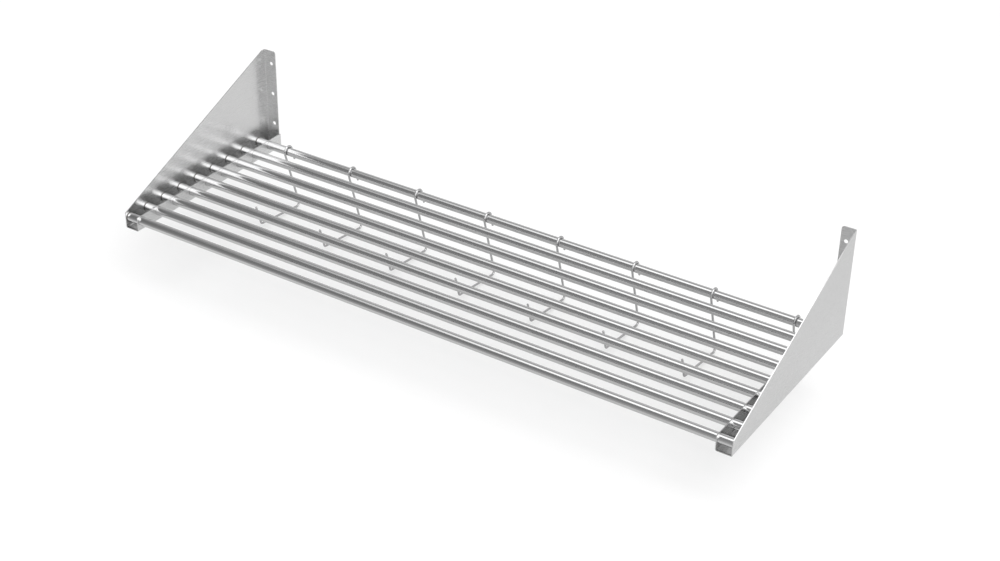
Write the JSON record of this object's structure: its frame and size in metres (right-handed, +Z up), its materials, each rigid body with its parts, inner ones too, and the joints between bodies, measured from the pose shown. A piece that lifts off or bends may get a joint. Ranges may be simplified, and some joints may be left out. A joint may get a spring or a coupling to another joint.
{
  "type": "wall shelf",
  "caption": "Stainless steel wall shelf: round tubes side by side between two folded triangular end brackets, with bent wire hooks hanging from the tube nearest the wall.",
  "frame": {"origin": "centre of the wall screw pattern, on the wall: midway between the brackets and level with their middle screw holes", "axes": "+X along the wall to the right as seen from the room, +Y into the wall, +Z up; the back faces of the brackets lie in the plane Y = 0 and the shelf stands out along -Y"},
  "size_m": [1.2, 0.4, 0.3088],
  "materials": {
    "sheet": "stainless sheet with a fine grain, half gloss",
    "tube": "polished stainless tube",
    "wire": "polished stainless wire"
  },
  "bodies": {
    "frame": {"left_bracket": "sheet", "right_bracket": "sheet", "tube_1": "tube", "tube_2": "tube", "tube_3": "tube", "tube_4": "tube", "tube_5": "tube", "tube_6": "tube", "tube_7": "tube", "tube_8": "tube", "tube_9": "tube"},
    "hook_1": {"hook_1": "wire"},
    "hook_2": {"hook_2": "wire"},
    "hook_3": {"hook_3": "wire"},
    "hook_4": {"hook_4": "wire"},
    "hook_5": {"hook_5": "wire"},
    "hook_6": {"hook_6": "wire"},
    "hook_7": {"hook_7": "wire"},
    "hook_8": {"hook_8": "wire"}
  },
  "joints": [
    {"name": "hook_1_slide", "type": "slide", "parent": "frame", "child": "hook_1", "axis": [1, 0, 0], "range_m": [-0.04, 0.07]},
    {"name": "hook_2_slide", "type": "slide", "parent": "frame", "child": "hook_2", "axis": [1, 0, 0], "range_m": [-0.07, 0.07]},
    {"name": "hook_3_slide", "type": "slide", "parent": "frame", "child": "hook_3", "axis": [1, 0, 0], "range_m": [-0.07, 0.07]},
    {"name": "hook_4_slide", "type": "slide", "parent": "frame", "child": "hook_4", "axis": [1, 0, 0], "range_m": [-0.07, 0.07]},
    {"name": "hook_5_slide", "type": "slide", "parent": "frame", "child": "hook_5", "axis": [1, 0, 0], "range_m": [-0.07, 0.07]},
    {"name": "hook_6_slide", "type": "slide", "parent": "frame", "child": "hook_6", "axis": [1, 0, 0], "range_m": [-0.07, 0.07]},
    {"name": "hook_7_slide", "type": "slide", "parent": "frame", "child": "hook_7", "axis": [1, 0, 0], "range_m": [-0.07, 0.07]},
    {"name": "hook_8_slide", "type": "slide", "parent": "frame", "child": "hook_8", "axis": [1, 0, 0], "range_m": [-0.07, 0.036]}
  ]
}
